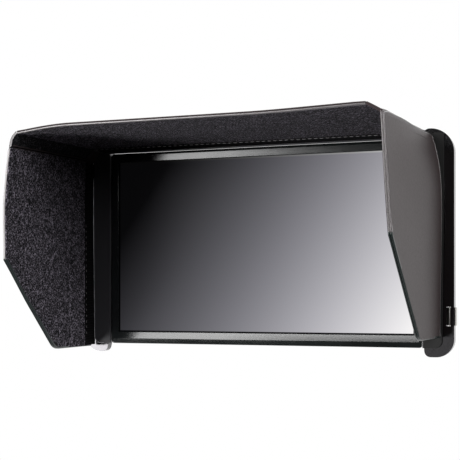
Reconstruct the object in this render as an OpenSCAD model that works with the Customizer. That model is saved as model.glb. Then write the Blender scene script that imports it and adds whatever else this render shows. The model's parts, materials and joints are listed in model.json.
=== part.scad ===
// Camera field monitor with a folding sun hood.
// Millimetres, +Z up. The screen faces -Y and +X is to the viewer's right.
// The origin is the mouth of the tripod socket, in the middle of the bottom face.

/* [Screen] */
// Width of the lit screen area
screen_w = 155; // [140:0.5:170]
// Height of the lit screen area
screen_h = 87.2; // [80:0.1:95]
// Depth of the screen behind the front of the bezel
screen_recess = 1.5; // [1:0.1:3]

/* [Bezel] */
// Bezel beside the screen
bezel_side = 4.3; // [3:0.1:8]
// Bezel below the screen
bezel_bottom = 6.7; // [5:0.1:12]
// Bezel above the screen
bezel_top = 5.3; // [4:0.1:12]
// Height of the sloped inner edge below and above the screen
bevel_height = 4.1; // [2:0.1:4.2]
// Width of the sloped inner edge beside the screen
bevel_side = 3; // [1:0.1:3]
// How far the sloped inner edge falls back towards the screen
bevel_fall = 0.4; // [0.2:0.1:1]
// Depth of the front shell
bezel_depth = 9; // [7.5:0.5:14]
// Wall of the two shells
wall = 1.8; // [1.4:0.1:2.4]

/* [Rear housing] */
// Depth of the whole monitor without the battery plate
monitor_depth = 25; // [22:0.5:34]
// Distance of the tripod socket behind the front of the bezel
socket_depth = 15; // [13:0.5:18]
// Slots in each row of vents
vent_count = 9; // [4:1:11]

/* [Side plates] */
// Height of a side plate
plate_height = 108.2; // [100:0.1:120]
// How far the side plates reach below the monitor
plate_below = 4.3; // [2:0.1:8]
// Overall width across the side plates
plate_span = 194; // [188:0.5:206]
// Thickness of a side plate
plate_thickness = 4.2; // [3:0.1:6]
// Height of the strap slot above the bottom of the monitor, at its middle
slot_height = 15; // [10:0.5:20]

/* [Sun hood] */
// Depth of the hood in front of the bezel
hood_depth = 91; // [70:1:110]
// Thickness of a wing with its skins
panel_thickness = 1.9; // [1.8:0.1:3]
// Thickness of the top with its skins
top_thickness = 1.4; // [1.4:0.1:2.4]
// How far each wing turns in towards the front, in degrees
wing_toe_in = 1.8; // [0:0.1:4]
// How much lower the bottom of the left wing is than that of the right one
left_wing_drop = 6.5; // [0:0.1:7]
// How much lower the top of the left wing is than that of the right one
left_top_drop = 4.6; // [0:0.1:5]
// How far the hood sits to the left of the middle
hood_shift = 1.2; // [0:0.1:2]
// Height of the lower edge of the right wing
wing_bottom = 5.2; // [5:0.1:20]
// Height at which the front edge of the right wing turns back
wing_bend = 49; // [35:0.1:60]

/* [Hidden] */
$fn = 64;
eps = 0.01;

// Monitor block
block_w = screen_w + 2 * bezel_side;
block_h = screen_h + bezel_bottom + bezel_top;
half_w = block_w / 2;
screen_z0 = bezel_bottom;
screen_z1 = bezel_bottom + screen_h;
block_radius = 1.2;
screen_gap = 0.6;
rim_fall = [0.25, 0.15];
back_radius = 5;

// Layers behind the opening, each one lying on the next
glass_t = 0.9;
lcd_t = 1.4;
guide_t = 1.6;
tray_t = 0.6;
glass_y = screen_recess;
lcd_y = glass_y + glass_t;
guide_y = lcd_y + lcd_t;
tray_y = guide_y + guide_t;
layer_margin = 1.6;
board_t = 1.6;
board_y = monitor_depth - wall - 7;
board_w = 118;
board_z = [24, 84];
board_screw_x = 55;
board_screw_z = [28, 80];

// Sockets and keys
socket_thread_r = 3.175;
socket_length = 8;
bush_r = 5.4;
hdmi_w = 15.4;
hdmi_h = 6.4;
port_y = socket_depth + 1;
hdmi_x = [-44, -24];
power_jack_x = 26;
headphone_x = 42;
key_x = [24, 36, 45, 54, 63];
key_y = socket_depth + 1;
key_size = [6, 4.4];
key_lift = 1;
key_travel = 0.6;
key_gap = 0.25;
power_key_r = 2.9;
housing_screw_z = [7.2, 90];

// Side plates
plate_y = 0.4;
plate_gap = 0.5;
plate_in = half_w + plate_gap;
plate_out = plate_span / 2;
plate_z0 = -plate_below;
plate_z1 = plate_height - plate_below;
plate_top_r = 11.5;
plate_bottom_r = 8.5;
plate_inner_r = 3;
tab_z = [30, 72];
tab_h = 14;
tab_reach = 17;
tab_t = 2;
plate_screw_y = 12;
slot_w = 2;
slot_h = 9;
slot_x = plate_out - 2.65;
foot_set_back = [2.6, 0.8];
foot_top = 6;

// Battery plate
battery_w = 39;
battery_z = [24, 92];
battery_t = 3.6;
latch_w = 11;
latch_h = 7;
latch_z = 28;
latch_travel = 3;

// Strap
strap_t = 1;
strap_h = 8.6;
clip_t = 0.6;
clip_proud = 0.6;

// Hood
hinge_x = 91.4;
hinge_y = -3;
wing_reach = (hood_depth + hinge_y) / cos(wing_toe_in);
wing_start = 0.9;
cover_t = 0.5;
lining_t = 0.5;
top_under = block_h + 0.9;
top_over = top_under + top_thickness;
top_axis_y = -12.8;
top_rear = -top_axis_y + 0.4;
ledge_front = -top_axis_y - 0.4;
top_half_front = [81.2, 78.3];
top_half_rear = 84.6;
ledge_half = 87.8;
wing_top_rear = top_under - 0.6;
wing_top_front = top_under - 3;
wing_tip_r = 8;
left_drop = [left_wing_drop, left_top_drop];
wing_slope = 42.5;
frame_t = 1.4;
frame_out = [91.4, 92.4];
frame_corner_r = 3.5;
flap_gap = 0.45;
pin_r = 0.8;
pin_z = [16, 50, 88];
pin_x = 5.4;
tape_t = 0.3;

// A convex outline with a radius at each corner. A radius of 0 leaves it sharp.
function unit(v) = v / norm(v);
function arm(p, q, r, h) = p + unit(q - p) * r / tan(h);
module rounded(points, radii) {
    n = len(points);
    halves = [for (i = [0:n - 1])
        let(p = points[i], u = unit(points[(i + n - 1) % n] - p), v = unit(points[(i + 1) % n] - p))
        acos(u * v) / 2];
    polygon([for (i = [0:n - 1], side = [0, 1])
        let(q = points[(i + n - 1 + 2 * side) % n])
        arm(points[i], q, radii[i] + (radii[i] == 0 ? side * 0.0001 : 0), halves[i])]);
    for (i = [0:n - 1]) if (radii[i] > 0) {
        p = points[i];
        before = points[(i + n - 1) % n];
        after = points[(i + 1) % n];
        centre = p + unit(unit(before - p) + unit(after - p)) * radii[i] / sin(halves[i]);
        intersection() {
            translate(centre) circle(r = radii[i]);
            polygon([arm(p, before, radii[i], halves[i]), p, arm(p, after, radii[i], halves[i]), centre]);
        }
    }
}
module rounded_box(a, b, r) {
    rounded([a, [b.x, a.y], b, [a.x, b.y]], [r, r, r, r]);
}
module span(a, b) {
    translate(a) cube(b - a);
}

// Outlines drawn in X and Z, in Y and Z, and in X and Y
module facing_y(y0, y1) {
    translate([0, y1, 0]) rotate([90, 0, 0]) linear_extrude(y1 - y0) children();
}
module facing_x(x0, x1) {
    translate([x0, 0, 0]) rotate([90, 0, 90]) linear_extrude(x1 - x0) children();
}
module facing_z(z0, z1) {
    translate([0, 0, z0]) linear_extrude(z1 - z0) children();
}

// Everything is drawn with the front of the bezel at Y 0 and then moved to the socket
module placed() {
    translate([0, -socket_depth, 0]) children();
}
module rod_y(x, z, y0, y1, r) {
    translate([x, y1, z]) rotate([90, 0, 0]) cylinder(r = r, h = y1 - y0);
}
module rod_x(y, z, x0, x1, r) {
    translate([x0, y, z]) rotate([0, 90, 0]) cylinder(r = r, h = x1 - x0);
}

// ---- Monitor ----

module front_bezel() {
    opening_w = screen_w / 2 + bevel_side;
    edge_w = screen_w / 2 + screen_gap;
    low = screen_z0 - screen_gap;
    high = screen_z1 + screen_gap;
    rim_low = screen_z0 - bevel_height;
    rim_high = screen_z1 + bevel_height;
    color([0.05, 0.055, 0.055]) placed() difference() {
        intersection() {
            facing_y(0, bezel_depth) rounded_box([-half_w, 0], [half_w, block_h], block_radius);
            // Rim that falls back below and above the sloped edges
            facing_x(-half_w, half_w) polygon([[rim_fall[0], 0], [0, rim_low], [0, rim_high],
                [rim_fall[1], block_h], [bezel_depth, block_h], [bezel_depth, 0]]);
        }
        // Sloped inner edges and the straight step behind them
        intersection() {
            facing_x(-half_w, half_w) polygon([[-eps, rim_low], [bevel_fall, low],
                [screen_recess + 1, low], [screen_recess + 1, high], [bevel_fall, high],
                [-eps, rim_high]]);
            facing_z(0, block_h) polygon([[-opening_w, -eps], [-edge_w, bevel_fall],
                [-edge_w, screen_recess + 1], [edge_w, screen_recess + 1], [edge_w, bevel_fall],
                [opening_w, -eps]]);
        }
        span([-half_w + wall, screen_recess, wall], [half_w - wall, bezel_depth + 1, block_h - wall]);
    }
}

// A flat layer behind the opening, wider than it by a margin
module layer(y, t, margin) {
    placed() span([-screen_w / 2 - margin, y, screen_z0 - margin],
        [screen_w / 2 + margin, y + t, screen_z1 + margin]);
}
module cover_glass() {
    color([0.1, 0.1, 0.11]) layer(glass_y, glass_t, layer_margin + 0.7);
}
module lcd_panel() {
    color([0.55, 0.56, 0.58]) layer(lcd_y, lcd_t, layer_margin + 0.5);
}
module light_guide() {
    color([0.9, 0.93, 0.95]) layer(guide_y, guide_t, layer_margin);
}
// Folded metal tray that holds the screen layers, with the board behind it
module panel_tray() {
    margin = layer_margin + 0.5;
    color([0.7, 0.71, 0.72]) placed() difference() {
        span([-screen_w / 2 - margin, tray_y, screen_z0 - margin],
            [screen_w / 2 + margin, bezel_depth, screen_z1 + margin]);
        span([-screen_w / 2 - margin + tray_t, tray_y + tray_t, screen_z0 - margin + tray_t],
            [screen_w / 2 + margin - tray_t, bezel_depth + 1, screen_z1 + margin - tray_t]);
        for (x = [-48, 0, 48]) rod_y(x, screen_z0 + screen_h / 2, tray_y - 1, bezel_depth, 8);
    }
}
module main_board() {
    chip = 14;
    color([0.1, 0.35, 0.22]) placed() {
        difference() {
            span([-board_w / 2, board_y, board_z[0]], [board_w / 2, board_y + board_t, board_z[1]]);
            for (x = [-board_screw_x, board_screw_x], z = board_screw_z)
                rod_y(x, z, board_y - 1, board_y + board_t + 1, 1.3);
        }
        span([-chip - 10, board_y - 1.4, 46], [-10, board_y, 46 + chip]);
        span([12, board_y - 1.2, 40], [24, board_y, 50]);
    }
}
module board_screws() {
    color([0.75, 0.75, 0.77]) placed()
        for (x = [-board_screw_x, board_screw_x], z = board_screw_z) {
            rod_y(x, z, board_y - 1.4, board_y, 2.2);
            rod_y(x, z, board_y - eps, board_y + board_t + 3, 1);
        }
}

// Closed outline of the rear shell, rounded towards the back, grown or shrunk by a margin
module rear_form(margin, y0) {
    y1 = monitor_depth - margin;
    w = half_w - margin;
    r = back_radius - margin;
    intersection() {
        facing_z(margin, block_h - margin)
            rounded([[-w, y0], [w, y0], [w, y1], [-w, y1]], [0, 0, r, r]);
        facing_x(-w, w) rounded([[y0, margin], [y1, margin], [y1, block_h - margin],
            [y0, block_h - margin]], [0, r, r, 0]);
    }
}
module vent_row(x0, z0, pitch, w, h) {
    for (i = [0:vent_count - 1])
        span([x0 + i * pitch, monitor_depth - wall - 1, z0],
            [x0 + i * pitch + w, monitor_depth + 1, z0 + h]);
}
module rear_housing() {
    vent_pitch = 4.6;
    vent_w = 1.7;
    vent_h = 15;
    vent_far = battery_w / 2 + 8;
    color([0.07, 0.07, 0.075]) placed() difference() {
        union() {
            difference() {
                rear_form(0, bezel_depth);
                rear_form(wall, bezel_depth - 1);
                for (z = [60, 20]) {
                    vent_row(vent_far, z, vent_pitch, vent_w, vent_h);
                    mirror([1, 0, 0]) vent_row(vent_far, z, vent_pitch, vent_w, vent_h);
                }
            }
            // Posts of the board and the boss of the tripod socket
            for (x = [-board_screw_x, board_screw_x], z = board_screw_z)
                rod_y(x, z, board_y + board_t, monitor_depth - wall + eps, 2.6);
            span([-8, socket_depth - 6, wall - eps], [8, monitor_depth - wall + eps, 10]);
        }
        for (x = [-board_screw_x, board_screw_x], z = board_screw_z)
            rod_y(x, z, board_y, board_y + board_t + 3.2, 1);
        translate([0, socket_depth, -1]) cylinder(r = bush_r, h = socket_length + 1);
        // Openings for sockets, keys and screws
        for (x = hdmi_x) span([x - hdmi_w / 2, port_y - hdmi_h / 2, -1],
            [x + hdmi_w / 2, port_y + hdmi_h / 2, wall + 1]);
        translate([power_jack_x, port_y, -1]) cylinder(r = 4.2, h = wall + 2);
        translate([headphone_x, port_y, -1]) cylinder(r = 3.6, h = wall + 2);
        span([key_x[0] - 5, key_y - 4, block_h - wall - 1], [key_x[4] + 5, key_y + 4, block_h + 1]);
        for (side = [-1, 1], z = tab_z)
            rod_x(plate_screw_y, z + tab_h / 2, side > 0 ? half_w - wall - 1 : -half_w - 1,
                side > 0 ? half_w + 1 : -half_w + wall + 1, 1.25);
        for (x = [-72, 72], z = housing_screw_z) {
            rod_y(x, z, monitor_depth - wall - 1, monitor_depth + 1, 1.25);
            rod_y(x, z, monitor_depth - 1, monitor_depth + 1, 2.6);
        }
    }
}
// Pan head with a cross recess
module cross_head(r, h) {
    difference() {
        cylinder(r = r, h = h);
        for (a = [0, 90]) rotate([0, 0, a]) translate([-r * 0.6, -0.35, h - 0.7]) cube([r * 1.2, 0.7, 1]);
    }
}
module housing_screws() {
    color([0.2, 0.2, 0.21]) placed() for (x = [-72, 72], z = housing_screw_z) {
        translate([x, monitor_depth - 1, z]) rotate([-90, 0, 0]) cross_head(2.4, 1.3);
        rod_y(x, z, monitor_depth - 9, monitor_depth - 1 + eps, 1.15);
    }
}
module tripod_socket() {
    color([0.75, 0.62, 0.35]) placed() translate([0, socket_depth, 0]) difference() {
        cylinder(r = bush_r, h = socket_length);
        translate([0, 0, -1]) cylinder(r = socket_thread_r, h = socket_length + 2);
    }
}

// ---- Side plates ----

// The set back slants the inner edge of the foot
module side_plate(set_back) {
    placed() difference() {
        union() {
            facing_y(plate_y, plate_y + plate_thickness)
                rounded([[plate_in + set_back, plate_z0], [plate_out, plate_z0], [plate_out, plate_z1],
                    [plate_in, plate_z1], [plate_in, foot_top]],
                    [plate_inner_r, plate_bottom_r, plate_top_r, plate_inner_r, 0]);
            // Tabs that run back along the housing
            for (z = tab_z) {
                span([half_w, plate_y + plate_thickness - 1, z],
                    [half_w + tab_t, tab_reach, z + tab_h]);
                span([half_w, plate_y + plate_thickness - 2, z],
                    [plate_in + 3, plate_y + plate_thickness, z + tab_h]);
            }
        }
        span([slot_x - slot_w / 2, -1, slot_height - slot_h / 2],
            [slot_x + slot_w / 2, plate_y + plate_thickness + 1, slot_height + slot_h / 2]);
        for (z = tab_z) rod_x(plate_screw_y, z + tab_h / 2, half_w - 1, half_w + tab_t + 1, 1.25);
        for (z = pin_z) rod_y(plate_in + pin_x, z, plate_y - 1, plate_y + 2.4, pin_r + 0.1);
    }
}
module left_side_plate() {
    color([0.22, 0.21, 0.23]) mirror([1, 0, 0]) side_plate(foot_set_back[0]);
}
module right_side_plate() {
    color([0.22, 0.21, 0.23]) side_plate(foot_set_back[1]);
}
module plate_screws() {
    color([0.3, 0.3, 0.31]) placed() for (side = [0, 1], z = tab_z) mirror([side, 0, 0]) {
        translate([half_w + tab_t, plate_screw_y, z + tab_h / 2]) rotate([0, 90, 0]) cross_head(2.3, 1.2);
        rod_x(plate_screw_y, z + tab_h / 2, half_w - wall - 2, half_w + tab_t + eps, 1.15);
    }
}

// ---- Battery plate ----

module battery_plate() {
    y0 = monitor_depth;
    y1 = monitor_depth + battery_t;
    rail = 2.6;
    color([0.08, 0.08, 0.085]) placed() difference() {
        facing_y(y0, y1) rounded_box([-battery_w / 2, battery_z[0]], [battery_w / 2, battery_z[1]], 2);
        // Recess between two rails, with undercuts for the feet of a battery
        span([-battery_w / 2 + rail, y0 + 1.4, battery_z[0] + 12],
            [battery_w / 2 - rail, y1 + 1, battery_z[1] + 1]);
        for (z = [44, 64], side = [0, 1]) mirror([side, 0, 0])
            span([battery_w / 2 - rail - 1, y0 + 1.4, z], [battery_w / 2 - 1, y0 + 2.4, z + 12]);
        for (x = [-10, 0, 10]) span([x - 0.9, y0 + 0.6, 80], [x + 0.9, y1, 90]);
        // Window of the latch
        span([-latch_w / 2 - 0.3, y0 + 0.8, latch_z - 0.3],
            [latch_w / 2 + 0.3, y1 + 1, latch_z + latch_h + latch_travel + 0.3]);
    }
}
module battery_contacts() {
    color([0.85, 0.7, 0.35]) placed() for (x = [-10, 0, 10])
        span([x - 0.6, monitor_depth + 0.6, 81], [x + 0.6, monitor_depth + 2.6, 89]);
}
module battery_latch() {
    y0 = monitor_depth + 1;
    color([0.25, 0.25, 0.26]) placed() {
        span([-latch_w / 2, y0, latch_z], [latch_w / 2, y0 + 2.2, latch_z + latch_h]);
        for (i = [0:3]) span([-latch_w / 2 + 1, y0 + 2.1, latch_z + 0.8 + i * 1.5],
            [latch_w / 2 - 1, y0 + 3, latch_z + 1.6 + i * 1.5]);
    }
}

// ---- Sockets and keys ----

// Shell of a video socket, seen from below, with its tongue inside
module hdmi_socket(x) {
    w = 14.8;
    h = 5.6;
    t = 0.5;
    depth = 11;
    color([0.78, 0.78, 0.8]) placed() translate([x, port_y, 0]) {
        difference() {
            facing_z(0.3, depth) hdmi_outline(w, h);
            facing_z(-1, depth - 1.5) hdmi_outline(w - 2 * t, h - 2 * t);
        }
        span([-5, -0.6, 1.2], [5, 0.9, depth - 1.4]);
    }
}
module hdmi_outline(w, h) {
    step = 1.6;
    polygon([[-w / 2, h / 2], [-w / 2, -h / 2 + step], [-w / 2 + step, -h / 2],
        [w / 2 - step, -h / 2], [w / 2, -h / 2 + step], [w / 2, h / 2]]);
}
module hdmi_input() {
    hdmi_socket(hdmi_x[0]);
}
module hdmi_output() {
    hdmi_socket(hdmi_x[1]);
}
module power_jack() {
    color([0.06, 0.06, 0.06]) placed() translate([power_jack_x, port_y, 0]) {
        difference() {
            translate([0, 0, 0.2]) cylinder(r = 4, h = 12);
            translate([0, 0, -1]) cylinder(r = 2.85, h = 11.4);
        }
        translate([0, 0, 1]) cylinder(r = 1.05, h = 10);
    }
}
module headphone_jack() {
    color([0.06, 0.06, 0.06]) placed() translate([headphone_x, port_y, 0]) difference() {
        translate([0, 0, 0.2]) cylinder(r = 3.4, h = 13);
        translate([0, 0, -1]) cylinder(r = 1.8, h = 12.6);
    }
}
// Raised frame round the keys, with a hole for each
module key_surround() {
    x0 = key_x[0] - 4.8;
    x1 = key_x[4] + 4.8;
    color([0.09, 0.09, 0.1]) placed() difference() {
        facing_z(block_h - wall, block_h + 0.4) rounded_box([x0, key_y - 3.8], [x1, key_y + 3.8], 1.2);
        translate([key_x[0], key_y, block_h - wall - 1]) cylinder(r = power_key_r + key_gap, h = wall + 3);
        for (i = [1:4]) facing_z(block_h - wall - 1, block_h + 2)
            rounded_box([key_x[i] - key_size.x / 2 - key_gap, key_y - key_size.y / 2 - key_gap],
                [key_x[i] + key_size.x / 2 + key_gap, key_y + key_size.y / 2 + key_gap], 0.8);
    }
}
module power_key() {
    color([0.55, 0.08, 0.08]) placed() translate([key_x[0], key_y, 0]) {
        translate([0, 0, block_h - wall + key_travel])
            cylinder(r = power_key_r, h = wall + key_lift - key_travel);
    }
}
module bar_key(i) {
    color([0.2, 0.2, 0.21]) placed() facing_z(block_h - wall + key_travel, block_h + key_lift)
        rounded_box([key_x[i] - key_size.x / 2, key_y - key_size.y / 2],
            [key_x[i] + key_size.x / 2, key_y + key_size.y / 2], 0.7);
}
module input_key() {
    bar_key(1);
}
module menu_key() {
    bar_key(2);
}
module down_key() {
    bar_key(3);
}
module up_key() {
    bar_key(4);
}

// ---- Strap ----

// A hook of sheet metal that grips the rim of a side plate through its slot
module strap_clip() {
    back = plate_y + plate_thickness;
    z0 = slot_height - strap_h / 2;
    z1 = slot_height + strap_h / 2;
    tongue = slot_x + slot_w / 2 - 0.05;
    color([0.5, 0.48, 0.45]) placed() {
        span([tongue - clip_t, plate_y + 0.4, z0], [tongue, back + eps, z1]);
        span([plate_out, plate_y + 1, z0], [plate_out + clip_proud, back + clip_t, z1]);
        span([plate_in + 2, back, z0], [plate_out + eps, back + clip_t, z1]);
    }
}
module left_strap_clip() {
    mirror([1, 0, 0]) strap_clip();
}
module right_strap_clip() {
    strap_clip();
}
// Elastic webbing stretched over the back from clip to clip
module elastic_strap() {
    y0 = plate_y + plate_thickness + clip_t;
    x_end = plate_in + 10;
    x_turn = half_w + 1.4;
    x_back = half_w - back_radius + 0.6;
    y_turn = monitor_depth - back_radius + 0.4;
    path = [[x_end, y0], [plate_in + 3, y0], [x_turn, y0 + 3], [x_turn, y_turn],
        [x_back + 1.5, monitor_depth + 0.1 + strap_t * 0.4], [x_back - 3, monitor_depth + 0.1]];
    outer = [[x_end, y0 + strap_t], [plate_in + 3.5, y0 + strap_t], [x_turn + strap_t, y0 + 3.4],
        [x_turn + strap_t, y_turn + 0.6], [x_back + 2.4, monitor_depth + 0.1 + strap_t * 1.4],
        [x_back - 3, monitor_depth + 0.1 + strap_t]];
    n = len(path);
    left_path = [for (i = [n - 1:-1:0]) [-path[i].x, path[i].y]];
    left_outer = [for (i = [0:n - 1]) [-outer[i].x, outer[i].y]];
    right_outer = [for (i = [n - 1:-1:0]) outer[i]];
    color([0.3, 0.29, 0.28]) placed() facing_z(slot_height - strap_h / 2, slot_height + strap_h / 2)
        polygon(concat(path, left_path, left_outer, right_outer));
}

// ---- Sun hood ----

module hooded() {
    placed() translate([-hood_shift, 0, 0]) children();
}
// Flat frame round the monitor with the ledge that carries the top
module hood_frame() {
    color([0.12, 0.12, 0.13]) placed() difference() {
        union() {
            for (side = [0, 1]) mirror([side, 0, 0]) facing_y(-frame_t + plate_y, plate_y)
                rounded([[plate_in, 0], [frame_out[0], 0], [frame_out[1], top_over],
                    [plate_in, top_over]], [0, frame_corner_r, 0.6, 0]);
            facing_y(-frame_t + plate_y, plate_y)
                polygon([[-plate_in - 1, block_h + 0.08], [plate_in + 1, block_h + 0.08],
                    [plate_in + 1, top_over], [-plate_in - 1, top_over]]);
            translate([-hood_shift, 0, 0])
                facing_z(top_under, top_over) polygon([[-ledge_half, plate_y - eps],
                    [ledge_half, plate_y - eps], [ledge_half - 1.6, -ledge_front],
                    [-ledge_half + 1.6, -ledge_front]]);
        }
        for (side = [0, 1], z = pin_z) mirror([side, 0, 0])
            rod_y(plate_in + pin_x, z, plate_y - frame_t + 0.5, plate_y + 1, pin_r);
    }
}
// Steel pins set in the back of the frame that sit in holes of the side plates
module locating_pins() {
    color([0.7, 0.7, 0.7]) placed() for (side = [0, 1], z = pin_z) mirror([side, 0, 0])
        rod_y(plate_in + pin_x, z, plate_y - frame_t + 0.5, plate_y + 2.2, pin_r);
}
// Outline of the top from above, and a level slice of it
module top_outline(inset) {
    polygon([[-top_half_rear + inset, -top_rear], [top_half_rear - inset, -top_rear],
        [top_half_front[1] - inset, -hood_depth + inset], [inset - top_half_front[0], -hood_depth + inset]]);
}
module top_board() {
    color([0.35, 0.34, 0.33]) hooded()
        facing_z(top_under + lining_t, top_over - cover_t) top_outline(0);
}
module top_cover() {
    color([0.38, 0.36, 0.36]) hooded() facing_z(top_over - cover_t, top_over) top_outline(0);
}
module top_lining() {
    color([0.12, 0.12, 0.13]) hooded() facing_z(top_under, top_under + lining_t) top_outline(0);
}
// Inner face of a wing at a distance in front of the bezel
function wing_inner(y) = hinge_x - panel_thickness / 2 + (y - hinge_y) * tan(wing_toe_in);
// Sloping strip that closes the corner between the top and a wing
module corner_flap(drop, half_front) {
    y_front = -hood_depth + 0.1;
    y_rear = -top_rear;
    fall_front = top_thickness + 2.9 + drop;
    fall_rear = top_thickness + 0.2 + drop;
    reach_front = wing_inner(y_front) - flap_gap;
    reach_rear = wing_inner(y_rear) - flap_gap;
    slice = 0.02;
    color([0.36, 0.34, 0.34]) hull() {
        for (e = [[y_front, half_front, reach_front, fall_front],
                [y_rear - slice, top_half_rear, reach_rear, fall_rear]])
            translate([0, e[0] + slice, 0]) rotate([90, 0, 0]) linear_extrude(slice)
                polygon([[e[1] + eps, top_over], [e[1] + eps, top_over - top_thickness],
                    [e[2] - 1, top_over - e[3]], [e[2], top_over - e[3]], [e[2], top_over - e[3] + 1.2]]);
    }
}
module left_corner_flap() {
    hooded() mirror([1, 0, 0]) corner_flap(left_top_drop, top_half_front[0]);
}
module right_corner_flap() {
    hooded() corner_flap(0, top_half_front[1]);
}
// Outline of a wing. The first coordinate runs from the hinge towards the viewer, and drop
// tells how much lower its bottom and its top are.
module wing_outline(drop) {
    low = wing_bottom - drop[0];
    bend = wing_bend - drop[0];
    tip = wing_reach - (bend - low) / tan(wing_slope);
    mirror([1, 0]) rounded([[wing_start, low], [tip, low], [wing_reach, bend],
        [wing_reach, wing_top_front - drop[1]], [wing_start, wing_top_rear - drop[1]]],
        [2, wing_tip_r, 2, 1.2, 0.6]);
}
// A slice of a wing, given by its distance from the lining's face
module wing_slice(drop, from, to) {
    translate([hinge_x, hinge_y, 0]) rotate([0, 0, -wing_toe_in])
        facing_x(from - panel_thickness / 2, to - panel_thickness / 2) wing_outline(drop);
}
module wing_board(drop) {
    color([0.35, 0.34, 0.33]) wing_slice(drop, lining_t, panel_thickness - cover_t);
}
module wing_cover(drop) {
    color([0.38, 0.36, 0.36]) wing_slice(drop, panel_thickness - cover_t, panel_thickness);
}
module wing_lining(drop) {
    color([0.12, 0.12, 0.13]) wing_slice(drop, 0, lining_t);
}

module left_wing_board() {
    mirrored_wing() wing_board(left_drop);
}
module left_wing_cover() {
    mirrored_wing() wing_cover(left_drop);
}
module left_wing_lining() {
    mirrored_wing() wing_lining(left_drop);
}
module right_wing_board() {
    hooded() wing_board([0, 0]);
}
module right_wing_cover() {
    hooded() wing_cover([0, 0]);
}
module right_wing_lining() {
    hooded() wing_lining([0, 0]);
}
// The left wing is the right one mirrored in the hood's own middle
module mirrored_wing() {
    hooded() mirror([1, 0, 0]) children();
}

// ---- Fabric hinges ----

module top_hinge_tape() {
    color([0.04, 0.04, 0.045]) hooded()
        facing_z(top_under - tape_t, top_under) polygon([[-ledge_half + 4, -2], [ledge_half - 4, -2],
            [top_half_rear - 1, top_axis_y - 3], [-top_half_rear + 1, top_axis_y - 3]]);
}
module wing_hinge_tape(drop) {
    x_out = wing_inner(-8) - 0.1;
    y_strip = plate_y - frame_t;
    z0 = wing_bottom - drop[0] + 0.6;
    z1 = wing_top_rear - drop[1] - 1;
    color([0.04, 0.04, 0.045]) {
        span([x_out - tape_t, -8, z0], [x_out, y_strip, z1]);
        span([plate_in + 7.2, y_strip - tape_t, z0], [x_out - tape_t + eps, y_strip, z1]);
    }
}
module left_hinge_tape() {
    mirrored_wing() wing_hinge_tape(left_drop);
}
module right_hinge_tape() {
    hooded() wing_hinge_tape([0, 0]);
}

front_bezel();
cover_glass();
lcd_panel();
light_guide();
panel_tray();
main_board();
board_screws();
rear_housing();
housing_screws();
tripod_socket();
left_side_plate();
right_side_plate();
plate_screws();
battery_plate();
battery_contacts();
battery_latch();
hdmi_input();
hdmi_output();
power_jack();
headphone_jack();
power_key();
input_key();
menu_key();
down_key();
up_key();
key_surround();
left_strap_clip();
right_strap_clip();
elastic_strap();
hood_frame();
locating_pins();
top_board();
top_cover();
top_lining();
left_corner_flap();
right_corner_flap();
left_wing_board();
left_wing_cover();
left_wing_lining();
right_wing_board();
right_wing_cover();
right_wing_lining();
top_hinge_tape();
left_hinge_tape();
right_hinge_tape();
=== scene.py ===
"""Looks of a camera field monitor with a folding sun hood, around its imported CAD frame."""
import json
import math

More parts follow.
